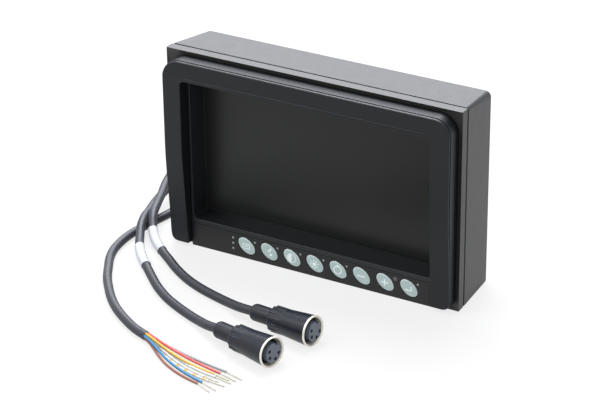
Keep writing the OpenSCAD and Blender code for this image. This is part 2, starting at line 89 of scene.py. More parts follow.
sky = bpy.data.worlds.new("studio")
sky.use_nodes = True
sky.node_tree.nodes["Background"].inputs["Color"].default_value = (1.0, 1.0, 1.0, 1)
sky.node_tree.nodes["Background"].inputs["Strength"].default_value = 1.0
bpy.context.scene.world = sky
bpy.context.scene.view_settings.view_transform = "Standard"

daylight = (0.96, 0.98, 1.05)


def softbox(name, place, target, size, power):
    """A square area light at place, turned so that its -Z axis points at target."""
    light = bpy.data.lights.new(name, "AREA")
    light.color = daylight
    light.size = size
    light.energy = power
    lamp = bpy.data.objects.new(name, light)
    lamp.location = place
    lamp.rotation_euler = (Vector(target) - Vector(place)).to_track_quat("-Z", "Y").to_euler()
    bpy.context.scene.collection.objects.link(lamp)


softbox("rear softbox", (-0.8, 1.4, 1.0), (0, 0, 0.1), 1.5, 20)
softbox("top softbox", (-0.35, 0.7, 1.6), (0, 0, 0), 1.0, 60)
softbox("front softbox", (-0.7, -0.74, 1.23), (0, 0, 0.06), 0.7, 13)


# ---- Leads ----
# Three round leads of slate-grey flexible PVC, 5.6 mm across. They leave moulded glands
# in the back, come round the left end and lie on the floor in front. They are tubes
# carried along the routes of the CAD model.

class Level:
    """One output of a shader node, with arithmetic that adds Math nodes."""

    def __init__(self, finish, socket):
        self.finish = finish
        self.socket = socket

    def calc(self, operation, *values):
        return self.finish.node("ShaderNodeMath", {"operation": operation},
                                dict(enumerate(values)))

    def __add__(self, other):
        return self.calc("ADD", self, other)

    def __sub__(self, other):
        return self.calc("SUBTRACT", self, other)

    def __rsub__(self, other):
        return self.calc("SUBTRACT", other, self)

    def __mul__(self, other):
        return self.calc("MULTIPLY", self, other)

    def __lt__(self, other):
        return self.calc("LESS_THAN", self, other)

    def __gt__(self, other):
        return self.calc("GREATER_THAN", self, other)

    def __abs__(self):
        return self.calc("ABSOLUTE", self)

    def __mod__(self, other):
        return self.calc("FLOORED_MODULO", self, other)

    __radd__ = __add__
    __rmul__ = __mul__


class Finish:
    """A material under construction, around one Principled shader."""

    def __init__(self, name, color, roughness, **fixed):
        self.material = bpy.data.materials.new(name)
        self.material.use_nodes = True
        self.tree = self.material.node_tree
        self.shader = self.tree.nodes["Principled BSDF"]
        self.set({"Base Color": color, "Roughness": roughness})
        self.set({name.replace("_", " ").title().replace("Ior", "IOR"): value
                  for name, value in fixed.items()})

    def feed(self, socket, value):
        if isinstance(value, Level):
            self.tree.links.new(value.socket, socket)
        elif isinstance(value, tuple) and len(value) == 3 and socket.type == "RGBA":
            socket.default_value = (*value, 1)
        else:
            socket.default_value = value

    def set(self, inputs):
        for name, value in inputs.items():
            self.feed(self.shader.inputs[name], value)
        return self

    def node(self, kind, settings, inputs, output=0):
        """Adds any node: its settings first, then its sockets' values or links."""
        made = self.tree.nodes.new(kind)
        for name, value in settings.items():
            if name == "stops":
                ramp = made.color_ramp.elements
                while len(ramp) < len(value):
                    ramp.new(0.5)
                for stop, (place, color) in zip(ramp, value):
                    stop.position = place
                    stop.color = (*color, 1)
            else:
                setattr(made, name, value)
        for socket, value in inputs.items():
            self.feed(made.inputs[socket], value)
        return Level(self, made.outputs[output])

    def noise(self, per_metre, detail=2.0, rough=0.5, vector=None):
        """Fractal noise from 0 to 1 on Object coordinates."""
        if vector is None:
            vector = self.node("ShaderNodeTexCoord", {}, {}, "Object")
        return self.node("ShaderNodeTexNoise", {"noise_dimensions": "3D"}, {
            "Vector": vector, "Scale": per_metre, "Detail": detail, "Roughness": rough})

    def axes(self, coordinates="Object"):
        """Object coordinates, or another map, split into three numbers."""
        vector = self.node("ShaderNodeTexCoord", {}, {}, coordinates)
        return [self.node("ShaderNodeSeparateXYZ", {}, {0: vector}, k) for k in range(3)]

    def mix(self, mask, color, other):
        """color where mask is 0, other where it is 1."""
        return self.node("ShaderNodeMix", {"data_type": "RGBA"}, {0: mask, 6: color, 7: other}, 2)

    def relief(self, height, depth_mm):
        """Raises the surface by height times the depth, as a bump."""
        bump = self.node("ShaderNodeBump", {}, {
            "Height": height, "Distance": depth_mm * mm, "Strength": 1.0})
        return self.set({"Normal": bump})


def varied(finish, color, patch, roughness, scatter, per_metre=60.0):
    """Clouds a colour and a roughness by a few per cent, as moulding and handling do."""
    cloud = finish.noise(per_metre, 3.0)
    darker = tuple(c * (1 - patch) for c in color)
    lighter = tuple(c * (1 + patch) for c in color)
    finish.set({"Base Color": finish.mix(cloud, darker, lighter)})
    handling = finish.noise(per_metre * 7, 2.0)
    finish.set({"Roughness": handling * scatter + (roughness - scatter / 2)})
    return finish


def surface(name, grids, closed=(False, True), body="monitor", finish=None,
            sharp=35.0, uv=None):
    """Makes a mesh from a grid of points in millimetres, rows by columns, or several.

    Each cell of the grid is one quad. closed says whether the last row joins the first,
    and the last column the first. Open rows of a closed grid are capped with a polygon.
    The signed volume, the sum of a . (b x c) / 6 over the faces, tells which way they
    point, and they are turned outwards."""
    vertices, polygons = [], []
    for points in grids if isinstance(grids, list) else [grids]:
        rows, columns = points.shape[:2]
        index = np.arange(rows * columns).reshape(rows, columns)
        if closed[0]:
            index = np.vstack([index, index[:1]])
        if closed[1]:
            index = np.hstack([index, index[:, :1]])
        quads = np.stack([index[:-1, :-1], index[:-1, 1:], index[1:, 1:], index[1:, :-1]], -1)
        faces = quads.reshape(-1, 4)
        flat = (points.reshape(-1, 3) + [0, front, 0]) * mm
        a, b, c, d = (flat[faces[:, k]] for k in range(4))
        volume = (np.einsum("ij,ij->i", a, np.cross(b, c))
                  + np.einsum("ij,ij->i", a, np.cross(c, d))).sum()
        part = faces.tolist()
        if closed == (False, True):
            for ends, sign in ((index[0, :-1], -1), (index[-1, :-1], 1)):
                ring = flat[ends]
                volume += sign * (np.cross(ring[1:-1], ring[2:]) @ ring[0]).sum()
                part.append(ends[::sign].tolist())
        turn = 1 if volume > 0 else -1
        start = sum(map(len, vertices))
        polygons += [[start + v for v in face[::turn]] for face in part]
        vertices.append(flat)
    mesh = bpy.data.meshes.new(name)
    mesh.from_pydata(np.vstack(vertices).tolist(), [], polygons)
    mesh.shade_smooth()
    mesh.set_sharp_from_angle(angle=math.radians(sharp))
    if uv is not None:
        loops = np.zeros(len(mesh.loops), int)
        mesh.loops.foreach_get("vertex_index", loops)
        layer = mesh.uv_layers.new(name="lay")
        layer.data.foreach_set("uv", uv.reshape(-1, 2)[loops].astype(np.float32).ravel())
    made = bpy.data.objects.new(name, mesh)
    bpy.context.scene.collection.objects.link(made)
    if finish is not None:
        mesh.materials.append(finish.material)
    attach(made, body)
    return made


def smooth_route(points, steps):
    """A Catmull-Rom curve through the points, with the ends repeated.

    Between b and c, with a before and d after, the point at t is half of
    2b + (c - a)t + (2a - 5b + 4c - d)t^2 + (3b - a - 3c + d)t^3."""
    p = np.array(points, float)
    p = np.vstack([p[:1], p, p[-1:]])
    a, b, c, d = (p[k:len(p) - 3 + k, None] for k in range(4))
    t = (np.arange(steps) / steps)[None, :, None]
    curve = (2 * b + (c - a) * t + (2 * a - 5 * b + 4 * c - d) * t**2
             + (3 * b - a - 3 * c + d) * t**3) / 2
    return np.vstack([curve.reshape(-1, 3), p[-1:]])


def run_length(path):
    """Distance along a path at each of its points."""
    return np.concatenate([[0], np.cumsum(np.linalg.norm(np.diff(path, axis=0), axis=1))])


def tube(path, radius, sides):
    """Rings of points around a path: centre + r (cos a side + sin a rise).

    side is level and square to the path, rise is square to both. radius is one number
    or one for each ring. Also gives the map of length along and angle around."""
    heading = np.gradient(path, axis=0)
    heading /= np.linalg.norm(heading, axis=1)[:, None]
    side = np.cross(heading, [0, 0, 1])
    side /= np.linalg.norm(side, axis=1)[:, None]
    rise = np.cross(side, heading)
    angle = np.linspace(0, 2 * np.pi, sides, endpoint=False)
    spread = (np.cos(angle)[None, :, None] * side[:, None]
              + np.sin(angle)[None, :, None] * rise[:, None])
    radius = np.broadcast_to(radius, len(path))[:, None, None]
    rings = path[:, None] + radius * spread
    along = np.broadcast_to(run_length(path)[:, None] * mm, rings.shape[:2])
    around = np.broadcast_to(angle / (2 * np.pi), rings.shape[:2])
    return rings, np.stack([along, around], -1)


slate = (0.018, 0.0195, 0.027)
sheath = Finish("slate PVC sheath", slate, 0.48, specular_ior_level=0.42)
varied(sheath, slate, 0.12, 0.48, 0.12, 90)
sheath.relief(sheath.noise(1400, 2.0) * 0.5 + sheath.noise(210, 1.0) * 0.5, 0.05)

route_1 = [
    [-74, 66.7, 56], [-74.2, 75, 55.4], [-76, 83.5, 53.4], [-80.5, 91.5, 50],
    [-88, 97.5, 45.6], [-98, 100, 40.6], [-108.5, 98, 35.4], [-118, 91, 30],
    [-125, 80, 25], [-128.6, 66, 20.8], [-129, 51, 17.4], [-126.5, 37, 15],
    [-122.3, 25, 13.5], [-118.5, 14, 12.9], [-114.2, 2, 11.2], [-108.6, -7.4, 6.6],
    [-101.5, -15.5, 3.9], [-92, -23.5, 3.3], [-82, -31, 3], [-72, -38.5, 2.8],
    [-60, -46, 2.8], [-48, -51.5, 2.8], [-36, -55.5, 2.8], [-24, -59.5, 3.4],
    [-13, -64.3, 5.4]]
route_2 = [
    [-74, 66.7, 36], [-74.2, 75, 35.2], [-76.2, 83.5, 33], [-81, 91, 29.6],
    [-89, 96, 25.6], [-99, 97.2, 21.4], [-109, 93.6, 17.6], [-118, 86, 14.6],
    [-124.5, 75, 12], [-128, 61, 10.2], [-128.6, 46, 9], [-127, 31, 8.4],
    [-124.6, 19, 8.4], [-122, 9, 8.4], [-119.9, 1, 8.9], [-116.9, -8, 7.5],
    [-112.5, -16.5, 4.8], [-107, -25.5, 3.5], [-99.5, -35, 3.3], [-90.5, -44, 3.2],
    [-80, -54, 2.9], [-70, -63, 2.8], [-59, -71, 2.8], [-48, -77, 2.8],
    [-37, -82, 2.8], [-28, -86, 3.3], [-19, -90.8, 5.1]]
route_power = [
    [-74, 66.7, 16], [-74.3, 74.5, 15.4], [-76.6, 82.5, 13.6], [-81.8, 89.2, 11],
    [-89.4, 93, 8.2], [-98, 92.6, 5.6], [-105.4, 87.6, 3.7], [-110.4, 79, 2.9],
    [-113, 68, 2.8], [-114, 56, 2.8], [-114, 44, 2.8], [-114, 32, 2.8],
    [-115, 21, 2.8], [-117.5, 9, 2.8], [-120, -4, 2.8], [-121.5, -18, 2.8],
    [-120, -33, 2.8], [-116, -45, 2.8], [-110, -56, 2.8], [-103.5, -67, 2.8],
    [-96, -77, 2.8], [-87.5, -87, 2.8], [-78, -96, 2.8], [-67, -104, 2.8],
    [-56, -110.5, 2.8], [-45, -115, 2.8]]

# Each socket's face centre and heading, its length, and the tilt that both have.
lead_r = 2.8
socket_length = 45
tilt = math.radians(3)
socket_at = {1: ((42.7, -74.4, 9.5), math.radians(-9)),
             2: ((33.8, -106.2, 9.5), math.radians(-15))}


def socket_axes(i):
    """Unit vectors of a socket: along its axis to the face, level across, and up."""
    turn = socket_at[i][1]
    along = np.array([math.cos(turn) * math.cos(tilt), math.sin(turn) * math.cos(tilt),
                      math.sin(tilt)])
    across = np.array([-math.sin(turn), math.cos(turn), 0.0])
    return along, across, np.cross(along, across)


steps_each = 8
lead_sides = 24
lead_paths = {}
for i, route in ((1, route_1), (2, route_2)):
    route = route + [list(np.array(socket_at[i][0]) - socket_length * socket_axes(i)[0])]
    lead_paths[i] = smooth_route(route, steps_each)
lead_paths["power"] = smooth_route(route_power, steps_each)
for i, path in lead_paths.items():
    rings, lay = tube(path, lead_r, lead_sides)
    name = "power_lead" if i == "power" else f"camera_lead_{i}"
    surface(name, rings, finish=sheath, uv=lay)
    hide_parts("power_cable" if i == "power" else f"camera_cable_{i}")


# ---- Label sleeves ----
# Blank white shrink sleeves, 24 mm long, that mark the two camera leads. Each grips the
# lead with a thin wall, and its cut ends are slightly flared.

sleeve_color = (0.39, 0.405, 0.43)
sleeve_white = Finish("white label sleeve", sleeve_color, 0.4)
varied(sleeve_white, sleeve_color, 0.04, 0.4, 0.1, 120)
sleeve_white.relief(sleeve_white.noise(420, 2.0), 0.06)

# The points of each lead's route between which its sleeve lies
label_span = {1: (15, 17), 2: (17, 19)}
sleeve_wall = 0.27
flare = 0.08
for i, (start, end) in label_span.items():
    path = lead_paths[i][steps_each * start:steps_each * end + 1]
    from_end = np.minimum(run_length(path), run_length(path)[::-1])
    wall = lead_r + sleeve_wall + flare * np.exp(-from_end / 0.5)
    rings, lay = tube(path, wall, lead_sides)
    surface(f"label_{i}", rings, finish=sleeve_white, uv=lay)
    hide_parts(f"label_sleeve_{i}")


# ---- Power lead's cores ----
# Eight cores of 1.6 mm, PVC insulated, fan out of the cut sheath and lie on the floor.
# Their ends are stripped for 12 mm and the strands are twisted and tinned.

def bend(a, b, c, d, steps):
    """A cubic Bezier curve: a u^3 + 3 b u^2 t + 3 c u t^2 + d t^3, with u = 1 - t."""
    t = np.linspace(0, 1, steps + 1)[:, None]
    u = 1 - t
    return a * u**3 + 3 * b * u**2 * t + 3 * c * u * t**2 + d * t**3


cut = np.array([-45, -115, 2.8])
onwards = lead_paths["power"][-1] - lead_paths["power"][-2]
onwards /= np.linalg.norm(onwards)
level_out = -np.cross(onwards, [0, 0, 1])
level_out /= np.linalg.norm(level_out)

# Name, colour, colour of its dashes, place round the lead's end in degrees, and the points
# by which it lies: its middle, the end of its insulation and its tip
middle_core = -1
cores = [
    ("grey", (0.2, 0.22, 0.225), None, 0,
     (-14, -122.6, 2.4), (14, -124.4, 0.9), (26, -127.4, 0.6)),
    ("red", (0.46, 0.045, 0.04), None, 51,
     (-16, -125.4, 3), (12, -127.4, 0.9), (23.5, -130.4, 0.6)),
    ("orange", (0.5, 0.26, 0.018), None, 103,
     (-19, -128.6, 2.2), (9, -129.8, 0.9), (20, -131.6, 0.6)),
    ("white", (0.44, 0.45, 0.43), None, 309,
     (-16, -130, 0.9), (12, -132.2, 0.9), (22.5, -133.8, 0.6)),
    ("white_black", (0.42, 0.43, 0.41), (0.33, 0.33, 0.31), middle_core,
     (-18, -132.2, 1.4), (6, -134.9, 0.9), (15.5, -135.8, 0.6)),
    ("white_yellow", (0.45, 0.45, 0.43), (0.5, 0.28, 0.015), 257,
     (-20, -134.6, 0.9), (10.5, -137.6, 0.9), (21, -138, 0.6)),
    ("blue", (0.009, 0.13, 0.27), None, 154,
     (-24, -134.6, 2), (8, -140.6, 0.9), (19, -144, 0.6)),
    ("brown", (0.19, 0.055, 0.03), None, 206,
     (-26, -137.4, 0.9), (6.5, -142.8, 0.9), (16.5, -147, 0.6))]
core_r = 0.8
core_ring_r = 1.86
strand_r = 0.2
strand_lay = 9
strands = []
for name, color, dash, place, middle, end, tip in cores:
    a = math.radians(place)
    start = cut
    if place != middle_core:
        start = cut + core_ring_r * (math.cos(a) * level_out + math.sin(a) * np.array([0, 0, 1]))
    path = bend(start, start + 14 * onwards, np.array(middle), np.array(end), 30)
    coat = Finish(f"{name} core insulation", color, 0.38)
    varied(coat, color, 0.06, 0.38, 0.08, 200)
    if dash:
        # A printed dash 2.6 mm long every 7 mm, on the upper half of the core
        lay_map = coat.node("ShaderNodeUVMap", {"uv_map": "lay"}, {})
        along, around = (coat.node("ShaderNodeSeparateXYZ", {}, {0: lay_map}, k) for k in (0, 1))
        printed = ((along % 0.007) < 0.0026) * (abs(around - 0.25) < 0.17)
        coat.set({"Base Color": coat.mix(printed, color, dash)})
    rings, lay = tube(path, core_r, 16)
    core = surface(f"core_{name}", rings, finish=coat, uv=lay)
    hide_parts(f"wire_{name}")
    rings[0].mean(0) * mm + [0, front * mm, 0]
    (path + [0, front, 0]) * mm
    # Six strands twist around a seventh, one turn every 9 mm. Their last ends are thinner.
    end, tip = np.array(end, float), np.array(tip, float)
    t = np.linspace(-0.05, 1, 14)[:, None]
    middle_line = end + t * (tip - end)
    radius = strand_r * np.where(t[:, 0] > 0.98, 0.6, 1)
    for k in range(7):
        phase = 2 * np.pi * (k / 6 + t * np.linalg.norm(tip - end) / strand_lay)
        off = 0 if k == 6 else 0.34
        offset = off * np.hstack([-0.25 * np.cos(phase), np.cos(phase), np.sin(phase)])
        strands.append(tube(middle_line + offset, radius, 8)[0])

tin = (0.42, 0.4, 0.33)
tinned = Finish("tinned strands", tin, 0.5, metallic=0.3)
varied(tinned, tin, 0.1, 0.5, 0.12, 900)
tips = surface("tinned_tips", strands, finish=tinned)
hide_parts("wire_tips")


# ---- Glands ----
# Moulded PVC strain reliefs, one to each lead: a flange against the housing's back and a
# tapered tail cut into rings, so that it bends with the lead.

def eased(profile, radius):
    """Rounds the corners of a profile: each is replaced by five points of the curve
    (1 - t)^2 a + 2 t (1 - t) b + t^2 c, a and c being radius from the corner b."""
    p = np.array(profile, float)
    a, b, c = p[:-2], p[1:-1], p[2:]
    before, after = a - b, c - b
    for side in (before, after):
        length = np.linalg.norm(side, axis=1)[:, None]
        side *= np.minimum(radius, 0.45 * length) / length
    t = np.linspace(0, 1, 5)[None, :, None]
    curve = b[:, None] + (1 - t)**2 * before[:, None] + t**2 * after[:, None]
    return np.vstack([p[:1], curve.reshape(-1, 2), p[-1:]])


def turned(profile, face, axes, sides, ripple=None):
    """Turns a profile about an axis: face - s along + r (cos a across + sin a up).

    A profile's points are (s, r): the distance behind the face and the radius. ripple
    gives what is added to r, from s, r and a."""
    along, across, over = axes
    angle = np.linspace(0, 2 * np.pi, sides, endpoint=False)[None, :]
    s, r = profile[:, :1], profile[:, 1:]
    radius = r + (0 if ripple is None else ripple(s, r, angle))
    ring = np.cos(angle)[..., None] * across + np.sin(angle)[..., None] * over
    return np.array(face, float) - s[..., None] * along + radius[..., None] * ring


gland_black = (0.028, 0.029, 0.031)
gland_rubber = Finish("moulded gland", gland_black, 0.5)
varied(gland_rubber, gland_black, 0.12, 0.5, 0.12)
gland_rubber.relief(gland_rubber.noise(1900, 2.0), 0.04)

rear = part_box("rear_housing")[1].y / mm - front
backwards = np.array([[0, 1.0, 0], [1.0, 0, 0], [0, 0, 1.0]])
gland_x = -74
gland_heights = (56, 36, 16)
gland_length = 22
for i, height in enumerate(gland_heights, 1):
    tail = [(0, 3.4)]
    for k in range(5):
        s, r = 2.2 + 3.2 * k, 3.75 + 0.33 * k
        tail += [(s, r), (s, r - 0.8), (s + 0.9, r - 0.75), (s + 0.9, r + 0.05)]
    tail += [(18.8, 5.4), (19.4, 6.8), (20.3, 7.6), (gland_length, 7.6),
             (gland_length, 4.9), (30, 4.9)]
    face = (gland_x, rear + gland_length, height)
    grid = turned(eased(tail, 0.25), face, backwards, 40)
    gland = surface(f"gland_{i}", grid, finish=gland_rubber)
    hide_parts(f"cable_gland_{i}")


# ---- Camera sockets ----
# Four-way aviation sockets. A soft boot grips the lead; a glass-filled nylon coupling
# with twelve finger ribs turns on it and carries a nickelled brass ring, threaded inside,
# round the fixed insert.

def ribs(s, r, angle):
    """Twelve ribs on the outside, 18 to 29 mm back, whose tops stay 7.95 mm from the
    axis: a raised cosine across each, cut flat, times a ramp at either end."""
    across = np.clip(2.4 * np.cos(12 * angle) - 0.3, 0, 1)
    run = np.clip((s - 18.6) / 0.4, 0, 1) * np.clip((29.1 - s) / 0.3, 0, 1) * (r > 7.1)
    return np.clip(7.95 - r, 0, 0.9) * across * run


def thread(s, r, angle):
    """A thread of 0.8 mm pitch and 0.15 mm depth in the bore, as a triangle wave of
    s / 0.8 + a / 2 pi."""
    wave = np.abs((s / 0.8 + angle / (2 * np.pi)) % 1.0 - 0.5) * 2
    return -0.15 * wave * np.clip((s - 1.3) / 0.4, 0, 1) * np.clip((4.8 - s) / 0.4, 0, 1)


boot_black, nylon_black = (0.011, 0.013, 0.018), (0.007, 0.009, 0.015)
boot_rubber = Finish("boot PVC", boot_black, 0.42, specular_ior_level=0.28)
varied(boot_rubber, boot_black, 0.12, 0.42, 0.12, 90)
boot_rubber.relief(boot_rubber.noise(1500, 2.0), 0.04)
nylon = Finish("coupling nylon", nylon_black, 0.34, specular_ior_level=0.38)
varied(nylon, nylon_black, 0.12, 0.34, 0.1, 80)
nylon.relief(nylon.noise(2100, 2.0), 0.025)
plating = (0.74, 0.71, 0.63)
nickel = Finish("nickelled ring", plating, 0.32, metallic=0.4)
varied(nickel, plating, 0.06, 0.32, 0.1, 300)

# Profiles below are pairs of distance behind the socket's face and radius.
bore_r = 8.1
connector_pieces = {}
for i in (1, 2):
    face, axes = socket_at[i][0], socket_axes(i)
    # The lead enters the boot's small end.
    boot = eased([(30, 4.9), (30.3, 5.15), (36, 5.15), (42.8, 5.15), (44.3, 4.5), (45, 3.3),
                  (45, 2.9)], 0.5)
    boot_piece = surface(f"boot_{i}", turned(boot, face, axes, 40),
                         finish=boot_rubber)
    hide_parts(f"connector_boot_{i}")
    stations = np.linspace(2.0, 28.9, 60)
    cone = np.stack([stations, 9.25 - 0.074 * (stations - 1.2)], 1)
    shell = np.vstack([[(1.2, 8.6), (1.2, 8.95), (1.35, 9.18)], cone,
                       eased([(29.2, 7.05), (29.7, 6.7), (29.7, 5.5), (22.5, 5.5), (22.5, 6.9),
                              (5, 6.9), (5, 8.5), (1.2, 8.5)], 0.2)])
    sleeve = surface(f"coupling_{i}", turned(shell, face, axes, 288, ribs), closed=(True, True),
                     body=f"coupling_{i}", finish=nylon)
    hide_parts(f"coupling_sleeve_{i}")
    bore = np.stack([np.linspace(0.8, 4.95, 50), np.full(50, bore_r)], 1)
    lip = eased([(1.2, 8.5), (1.2, 9.4), (0.3, 9.4), (0, 9.1), (0, 8.8), (0.8, bore_r)], 0.15)
    rim = np.vstack([lip, bore[1:], [(5, bore_r + 0.05), (5, 8.5)]])
    ring = surface(f"ring_{i}", turned(rim, face, axes, 72, thread), closed=(True, True),
                   body=f"coupling_{i}", finish=nickel)
    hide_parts(f"thread_ring_{i}")
    connector_pieces[i] = [boot_piece, sleeve, ring]

insert_blue_grey, gilding = (0.085, 0.1, 0.13), (0.75, 0.58, 0.28)
insert_grey = Finish("socket insert", insert_blue_grey, 0.36)
varied(insert_grey, insert_blue_grey, 0.08, 0.38, 0.08, 150)
contact_brass = Finish("gilded contacts", gilding, 0.3, metallic=1.0)
varied(contact_brass, gilding, 0.08, 0.3, 0.1, 800)


def dress(node, finish):
    """Gives a CAD node its material."""
    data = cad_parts[node].data
    data.materials.clear()
    data.materials.append(finish.material)
    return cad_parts[node]


def broken_edges(node, width, angle=32):
    """Rounds a CAD node's edges: its triangles are welded, flat areas are joined, and
    every edge sharper than the angle gets a two-step bevel."""
    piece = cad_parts[node]
    piece.modifiers.new("weld", "WELD").merge_threshold = 0.00001
    flat = piece.modifiers.new("flat", "DECIMATE")
    flat.decimate_type = "DISSOLVE"
    flat.angle_limit = math.radians(0.5)
    bevel = piece.modifiers.new("edges", "BEVEL")
    bevel.width = width * mm
    bevel.segments = 2
    bevel.limit_method = "ANGLE"
    bevel.angle_limit = math.radians(angle)
    bevel.harden_normals = True
    bevel.use_clamp_overlap = False
    return piece


for i in (1, 2):
    dress(f"connector_insert_{i}", insert_grey)
    dress(f"socket_contacts_{i}", contact_brass)
    connector_pieces[i] += [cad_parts[f"connector_insert_{i}"],
                            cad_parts[f"socket_contacts_{i}"]]

row_front = np.array([0, front, 0])
for i, length in ((1, 0.308), (2, 0.312), ("power", 0.291)):
    path = (lead_paths[i] + row_front) * mm


# ---- Rear housing ----
# A deep box moulded in charcoal ABS with a fine spark-eroded grain. Six screws from
# behind pull it onto the front frame, over a dark foam gasket that shows as the seam.

def moulded(name, color, roughness, grain, depth):
    """Satin moulded plastic: clouded colour, and a grain of two noises as a bump."""
    finish = Finish(name, color, roughness, specular_ior_level=0.38)
    varied(finish, color, 0.07, roughness, 0.08, 25)
    coarse, fine = finish.noise(grain, 3.0, 0.6), finish.noise(grain * 3, 1.0)
    return finish.relief(coarse * 0.7 + fine * 0.3, depth)


housing_grain = moulded("housing ABS", (0.0095, 0.01, 0.0115), 0.4, 1700, 0.03)
dress("rear_housing", housing_grain)
broken_edges("rear_housing", 0.35)
gasket_foam = Finish("gasket foam", (0.004, 0.004, 0.004), 0.9)
gasket_foam.relief(gasket_foam.noise(3000), 0.05)
dress("frame_gasket", gasket_foam)
dress("glass_gasket", gasket_foam)


# ---- Front frame ----
# The same ABS. Its face falls inwards from a crisp outer edge to the foot of the hood.

frame_grain = moulded("frame ABS", (0.026, 0.025, 0.025), 0.42, 1700, 0.03)
dress("front_frame", frame_grain)
broken_edges("front_frame", 0.25)


# ---- Sun hood ----
# One ABS moulding with a smooth satin face: a sloping brim over the screen and two arms
# whose fronts fall back towards the keys. A bead runs round its outer edge behind a fine
# groove, and a small ledge divides the brim from the strip above the screen.

hood_low, hood_high = (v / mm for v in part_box("sun_hood"))
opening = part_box("bezel")[1] / mm
reach = front - hood_low.y
foot_y = hood_high.y - front
half, high, low = hood_high.x, hood_high.z, hood_low.z
clearance = 0.2
inner_half, inner_high = opening.x + clearance, opening.z + clearance
crease = high - 10


def hood_face(z):
    """Depth of the hood's front: the brim leans back 1 mm over its 10 mm above the
    crease, and the arms fall back 4 mm from Z 70 to Z 6 as t^2 (3 - 2t)."""
    t = np.clip((70 - z) / 64, 0, 1)
    brim = np.clip((z - crease) / 10, 0, 1)
    return 0.35 - reach + 4 * t**2 * (3 - 2 * t) + brim


def arc(cx, cz, radius, start, end, steps):
    """Points of a circle from one angle to another, in degrees."""
    a = np.radians(np.linspace(start, end, steps))
    return np.stack([cx + radius * np.cos(a), cz + radius * np.sin(a)], 1)


# Outline of the left half from the foot to the middle, and the opening's to match it.
side_z = np.concatenate([np.linspace(low + 4, 60, 26)[1:], np.linspace(62, high - 11.5, 18)])
outer = np.vstack([
    arc(4 - half, low + 4, 4, 270, 180, 9),
    np.stack([np.full(len(side_z), -half), side_z], 1),
    arc(11 - half, high - 11, 11, 180, 90, 25),
    np.stack([np.linspace(12 - half, 0, 30), np.full(30, high)], 1)])
inner = np.vstack([
    np.stack([np.full(9, -inner_half), np.clip(outer[:9, 1], low, None)], 1),
    np.stack([np.full(len(side_z), -inner_half),
              np.interp(side_z, [60, high - 11.5], [60, inner_high - 3.1])], 1),
    arc(3 - inner_half, inner_high - 3, 3, 180, 90, 25),
    np.stack([np.linspace(3.1 - inner_half, 0, 30), np.full(30, inner_high)], 1)])
outer, inner = (np.vstack([line, line[-2::-1] * [-1, 1]]) for line in (outer, inner))
across = inner - outer
width = np.linalg.norm(across, axis=1)
across /= width[:, None]

# Section of the hood, as distances in from the outer edge and depths behind the face.
# The crease carries a fine round ridge, which fades out before the round corners.
ridge_r = 0.35
ridge = ridge_r * np.clip((half - 12 - abs(outer[:, 0])) / 4, 0, 1)
at = width * (high - crease) / (high - inner_high)
bead = eased([(0, 3.4), (0, 2.4), (0.6, 2.3), (0.66, 1.5), (0.12, 1.35), (0.1, 0.8),
              (0.3, 0.25), (0.85, 0), (1.7, 0)], 0.18)
section = [(d + 0 * width, behind + 0 * width) for d, behind in bead]
section += [(1.7 + (at - 2.1) * k / 7, 0 * width) for k in range(1, 8)]
section += [(at + 0.32 * math.sin(a), -ridge * math.cos(a))
            for a in np.radians([-90, -50, -20, 20, 50, 90])]
section += [(at + 0.4 + (width - at - 1.4) * k / 4, 0 * width) for k in range(5)]
section += [(width - d, behind + 0 * width) for d, behind in eased(
    [(0.94, 0), (0.78, 0), (0.2, 0.08), (0, 0.5), (0, 2)], 0.3)[1:]]
columns = []
for d, behind in section:
    place = outer + d[:, None] * across
    columns.append(np.stack([place[:, 0], hood_face(place[:, 1]) + behind, place[:, 1]], 1))
for line in (inner, outer):
    columns.append(np.stack([line[:, 0], np.full(len(line), foot_y), line[:, 1]], 1))
hood_black = (0.003, 0.004, 0.006)
hood_skin = Finish("hood ABS", hood_black, 0.42, specular_ior_level=0.32)
varied(hood_skin, hood_black, 0.08, 0.42, 0.06, 25)
hood_skin.relief(hood_skin.noise(2400, 2.0), 0.012)
hood = surface("hood_shell", np.stack(columns, 1), finish=hood_skin)
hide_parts("sun_hood")


# ---- Bezel and key panel ----
# A grey-black ABS bezel funnels in to the glass. Below the window a printed polyester
# overlay, 0.25 mm thick, is stuck round the keys.

bezel_grain = moulded("bezel ABS", (0.007, 0.0085, 0.0095), 0.42, 1500, 0.03)
dress("bezel", bezel_grain)
broken_edges("bezel", 0.3)
film_black = (0.0075, 0.0075, 0.0085)
overlay_film = Finish("overlay film", film_black, 0.45, specular_ior_level=0.36)
varied(overlay_film, film_black, 0.08, 0.46, 0.06, 60)
overlay_film.relief(overlay_film.noise(5200, 1.0), 0.02)
dress("key_overlay", overlay_film)


# ---- Keys ----
# Eight oval caps of pale translucent silicone, leaning down to the right, slightly
# crowned, with a white legend printed on each and a painted highlight round each rim.
# They stand in clearance holes in the bezel.

# White of the printed legends, also used for the painted highlight on the caps' rims.
ink_and_highlight_white = (0.68, 0.76, 0.75)
silicone_dark, silicone_light = (0.3, 0.385, 0.375), (0.36, 0.455, 0.445)
half_long, half_short = 6.5, 4.4
key_z = 8.9
lean = math.radians(39)
long_way = np.array([math.cos(lean), 0, -math.sin(lean)])
short_way = np.array([math.sin(lean), 0, math.cos(lean)])


